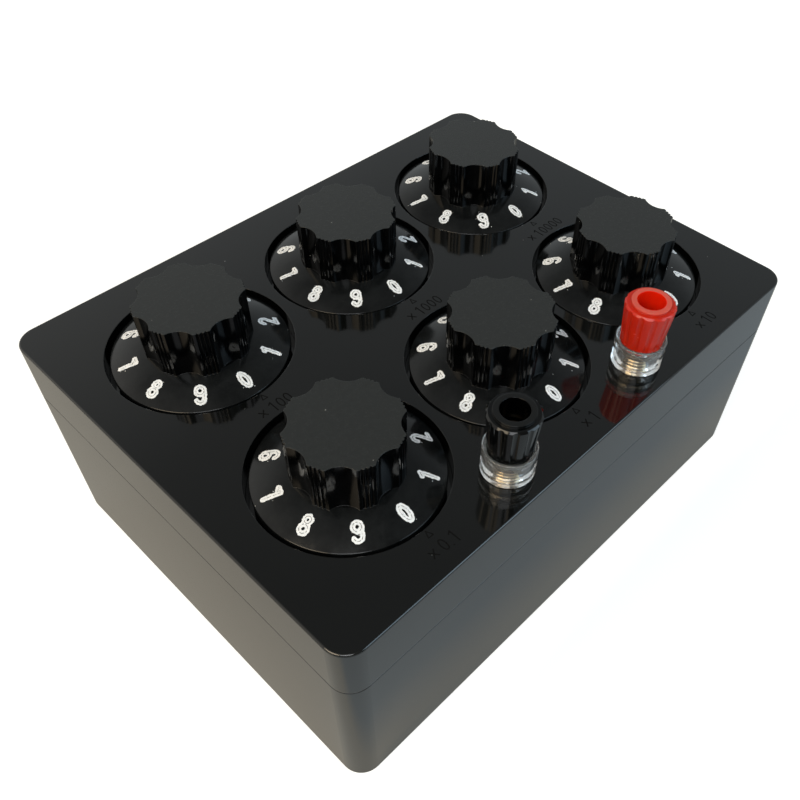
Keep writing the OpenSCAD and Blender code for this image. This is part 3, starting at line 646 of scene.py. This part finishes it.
ARROW_TIP_Y = -24.75
ARROW_FOOT_Y = -26.5
ARROW_HALF = 0.75
ARROW_LINE = 0.13
ARROW_SEED = 400
ARROW_CUT = Cut(cell=0.1, ragged=0.03, low=-0.02, high=0.006)
LABEL_X = 0.4
LABEL_Y = -29.9
LABEL_SCALE = 0.78
LABEL_LINE = 0.17
LABEL_SEED = 430
LABEL_CUT = Cut(cell=0.11, ragged=0.04, low=-0.02, high=0.006)
STEP_AFTER_SIGN = 3.2
STEP_AT_POINT = 1.6
STEP_OF_DIGIT = 2.25


def lay_on_panel(axis):
    def lay(u, v, rise):
        return (axis.x + u * MM, axis.y + v * MM, above_panel(rise))

    return lay


def step_after(letter, following):
    if letter == "x":
        return STEP_AFTER_SIGN
    if "." in (letter, following):
        return STEP_AT_POINT
    return STEP_OF_DIGIT


marks = Sheet()
for which, decade in enumerate(DECADES):
    lay = lay_on_panel(middle(f"{decade}_knob_dial"))
    tip = (0, ARROW_TIP_Y)
    arrow = [[tip, (-ARROW_HALF, ARROW_FOOT_Y), (ARROW_HALF, ARROW_FOOT_Y), tip]]
    marks.fill(arrow, ARROW_LINE, ARROW_CUT, ARROW_SEED + which, lay)
    text = MULTIPLIERS[which]
    steps = [0.0]
    for letter, following in zip(text[:-1], text[1:]):
        steps.append(steps[-1] + step_after(letter, following))
    start = LABEL_X - steps[-1] / 2
    for letter, step in zip(text, steps):
        strokes = scaled(STROKES[letter], LABEL_SCALE, step + start, LABEL_Y)
        marks.fill(strokes, LABEL_LINE, LABEL_CUT, LABEL_SEED + which + step, lay)
panel_marks = marks.build("panel_marks", "case", GROOVE)

# Clear collars of the posts: turned with soft edges, a hair above the panel so that their floors mirror

COLLAR_R = 6.5
COLLAR_H = 8.0
COLLAR_CUP_R = 5.73
COLLAR_CUP_Z = 6.2
COLLAR_SEAT_R = 4.35
COLLAR_SEAT_Z = 4.4
COLLAR_BORE_R = 3.05
COLLAR_LIFT = 0.04
COLLAR_SOFT = 0.35
COLLAR_SEGMENTS = 128
COLLAR_CORNERS = [
    (COLLAR_BORE_R, COLLAR_LIFT),
    (COLLAR_R, COLLAR_LIFT),
    (COLLAR_R, COLLAR_H),
    (COLLAR_CUP_R, COLLAR_H),
    (COLLAR_CUP_R, COLLAR_CUP_Z),
    (COLLAR_SEAT_R, COLLAR_CUP_Z),
    (COLLAR_SEAT_R, COLLAR_SEAT_Z),
    (COLLAR_BORE_R, COLLAR_SEAT_Z),
]


def softened(corners, radius, most=0.45, steps=5):
    """Rounds each corner of a closed outline with a short curve, over at most a share of its sides."""
    points = []
    for k, (x, y) in enumerate(corners):
        here = Vector((x, y))
        before = Vector(corners[k - 1]) - here
        after = Vector(corners[(k + 1) % len(corners)]) - here
        start = here + before.normalized() * min(radius, before.length * most)
        end = here + after.normalized() * min(radius, after.length * most)
        for step in range(steps + 1):
            t = step / steps
            points.append(start * (1 - t) ** 2 + here * 2 * t * (1 - t) + end * t ** 2)
    return points


def collar(post):
    centre = middle(f"{post}_post_collar")
    outline = softened(COLLAR_CORNERS, COLLAR_SOFT)
    count = len(outline)
    verts = []
    faces = []
    for k in range(COLLAR_SEGMENTS):
        a = 2 * math.pi * k / COLLAR_SEGMENTS
        here = k * count
        there = (k + 1) % COLLAR_SEGMENTS * count
        for i, (r, z) in enumerate(outline):
            x = centre.x + r * math.cos(a) * MM
            y = centre.y + r * math.sin(a) * MM
            verts.append((x, y, above_panel(z)))
            j = (i + 1) % count
            faces.append((here + i, there + i, there + j, here + j))
    name = f"{post}_clear_collar"
    mesh = bpy.data.meshes.new(name)
    mesh.from_pydata(verts, [], faces)
    mesh.shade_smooth()
    piece = add_piece(name, mesh, MATERIALS["clear_plastic"])
    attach(piece, "case")
    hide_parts(f"{post}_post_collar")


for post in POSTS:
    collar(post)

# Camera at the photograph's viewing angle

CAMERA_PLACE = (-0.12472, -0.12428, 0.21842)
CAMERA_RIGHT = Vector((0.6926, -0.7208, 0.0293))
CAMERA_UP = Vector((0.5429, 0.5476, 0.6367))
CAMERA_SENSOR_MM = 36
CAMERA_LENS_MM = 37.66
CAMERA_SHIFT = (-0.0595, 0.0623)
CAMERA_NEAR = 0.01

camera = bpy.data.objects.new("camera", bpy.data.cameras.new("camera"))
bpy.context.scene.collection.objects.link(camera)
camera_axes = Matrix((CAMERA_RIGHT, CAMERA_UP, CAMERA_RIGHT.cross(CAMERA_UP)))
camera.matrix_world = Matrix.Translation(CAMERA_PLACE) @ camera_axes.transposed().to_4x4()
camera.data.sensor_width = CAMERA_SENSOR_MM
camera.data.lens = CAMERA_LENS_MM
camera.data.shift_x = CAMERA_SHIFT[0]
camera.data.shift_y = CAMERA_SHIFT[1]
camera.data.clip_start = CAMERA_NEAR
bpy.context.scene.camera = camera

# Floor: pale, and white to the camera where no shadow lies; in front of the case a cooler, darker painted
# shade

FLOOR_HALF = 2.5
FLOOR_TONE = rgb(0.6, 0.595, 0.555)
FLOOR_FRONT_SHADE_TONE = rgb(0.44, 0.495, 0.535)
FLOOR_FRONT_START = 0.003
FLOOR_FRONT_END = 0.013
FLOOR_NEAR = 0.25
FLOOR_FAR = 0.9
FLOOR_NEAR_GLOW = 0.67
FLOOR_FAR_GLOW = 0.88
FLOOR_GLOSSY_GLOW = 0.02
FLOOR_THROUGH_GLOW = 0.5
WHITE = rgb(1, 1, 1)


def floor_material():
    material = bpy.data.materials.new("floor")
    material.use_nodes = True
    tree = material.node_tree
    tree.nodes.clear()
    seen_by = node(tree, "ShaderNodeLightPath").outputs
    spot = node(tree, "ShaderNodeTexCoord").outputs["Object"]
    away = vector_of(tree, "LENGTH", spot)["Value"]
    glow = ranged(tree, away, FLOOR_NEAR, FLOOR_FAR, FLOOR_NEAR_GLOW, FLOOR_FAR_GLOW)
    glow = math_of(tree, "MULTIPLY", seen_by["Is Camera Ray"], glow)
    glossy = math_of(tree, "MULTIPLY", seen_by["Is Glossy Ray"], FLOOR_GLOSSY_GLOW)
    through = math_of(tree, "MULTIPLY", seen_by["Is Transmission Ray"], FLOOR_THROUGH_GLOW)
    glow = math_of(tree, "MAXIMUM", math_of(tree, "MAXIMUM", glow, glossy), through)
    front = cad_box[0].y
    front_shade = ranged(tree, parts_of(tree, spot)["Y"], front - FLOOR_FRONT_START, front - FLOOR_FRONT_END)
    # The floor in front of the case gets a cool painted shade, which the case's front face mirrors.
    tone = blended(tree, front_shade, FLOOR_TONE, FLOOR_FRONT_SHADE_TONE)
    shine = node(tree, "ShaderNodeEmission", {"Strength": glow, "Color": WHITE})
    matt = node(tree, "ShaderNodeBsdfDiffuse", {"Color": tone})
    joined = node(tree, "ShaderNodeAddShader", {0: shine.outputs[0], 1: matt.outputs[0]})
    node(tree, "ShaderNodeOutputMaterial", {"Surface": joined.outputs[0]})
    return material


floor_corners = [(x * FLOOR_HALF, y * FLOOR_HALF, 0) for x, y in ((-1, -1), (1, -1), (1, 1), (-1, 1))]
floor_mesh = bpy.data.meshes.new("floor")
floor_mesh.from_pydata(floor_corners, [], [(0, 1, 2, 3)])
add_piece("floor", floor_mesh, floor_material())

# World: a soft sky, brighter low down, at the back and on the left, dim in front, and white to the camera

SKY_LOW_Z = (0.86, 0.4)
SKY_LOW_GLOW = (0.17, 0.45)
SKY_BACK_Y = (0.62, 0.78)
SKY_BACK_GLOW = 0.2
SKY_LEFT_X = (0.1, -0.45)
SKY_LEFT_GLOW = 0.35
SKY_FRONT = (-0.6, -0.8)
SKY_FRONT_SPAN = (0.4, 0.7)
SKY_FRONT_SHARE = 0.3
SKY_THROUGH_GLOW = 0.75
SKY_WARM_X = (-0.5, 0.7)
SKY_WARM = rgb(1.0, 0.96, 0.89)
SKY_COOL = rgb(0.9, 0.97, 1.0)


def studio_world():
    world = bpy.data.worlds.new("studio")
    world.use_nodes = True
    tree = world.node_tree
    sky = tree.nodes["Background"]
    toward = parts_of(tree, node(tree, "ShaderNodeTexCoord").outputs["Generated"])
    seen_by = node(tree, "ShaderNodeLightPath").outputs
    low = ranged(tree, toward["Z"], *SKY_LOW_Z, *SKY_LOW_GLOW)
    back = ranged(tree, toward["Y"], *SKY_BACK_Y, to_high=SKY_BACK_GLOW)
    left = ranged(tree, toward["X"], *SKY_LEFT_X, to_high=SKY_LEFT_GLOW)
    glow = math_of(tree, "ADD", math_of(tree, "ADD", low, back), left)
    front_x = math_of(tree, "MULTIPLY", toward["X"], SKY_FRONT[0])
    front_y = math_of(tree, "MULTIPLY", toward["Y"], SKY_FRONT[1])
    frontward = math_of(tree, "ADD", front_x, front_y)
    dimmed = ranged(tree, frontward, *SKY_FRONT_SPAN, to_low=1.0, to_high=SKY_FRONT_SHARE)
    glow = math_of(tree, "MULTIPLY", glow, dimmed)
    through = math_of(tree, "MULTIPLY", seen_by["Is Transmission Ray"], SKY_THROUGH_GLOW)
    backdrop = math_of(tree, "MAXIMUM", through, seen_by["Is Camera Ray"])
    tree.links.new(math_of(tree, "MAXIMUM", glow, backdrop), sky.inputs["Strength"])
    tint = blended(tree, ranged(tree, toward["X"], *SKY_WARM_X), SKY_WARM, SKY_COOL)
    tree.links.new(blended(tree, seen_by["Is Camera Ray"], tint, WHITE), sky.inputs["Color"])
    return world


bpy.context.scene.world = studio_world()

# Lamps: soft discs that face the box

LAMP_AIM = Vector((0, 0, 0.05))
Lamp = namedtuple("Lamp", "name place size watts colour")
LAMPS = [
    Lamp("key", Vector((-0.87, -0.02, 0.84)), 0.7, 6.4, (1.0, 0.83, 0.6)),
    Lamp("fill", Vector((0.46, -1.0, 0.62)), 0.9, 5.6, (0.62, 0.83, 1.0)),
    Lamp("front", Vector((-0.55, -0.52, 0.97)), 0.6, 3.9, (0.94, 0.97, 1.0)),
]
for lamp in LAMPS:
    light = bpy.data.lights.new(lamp.name, "AREA")
    light.shape = "DISK"
    light.size = lamp.size
    light.energy = lamp.watts
    light.color = lamp.colour
    made = bpy.data.objects.new(lamp.name, light)
    bpy.context.scene.collection.objects.link(made)
    made.location = lamp.place
    made.rotation_euler = (LAMP_AIM - lamp.place).to_track_quat("-Z", "Y").to_euler()

bpy.context.scene.view_settings.view_transform = "Standard"
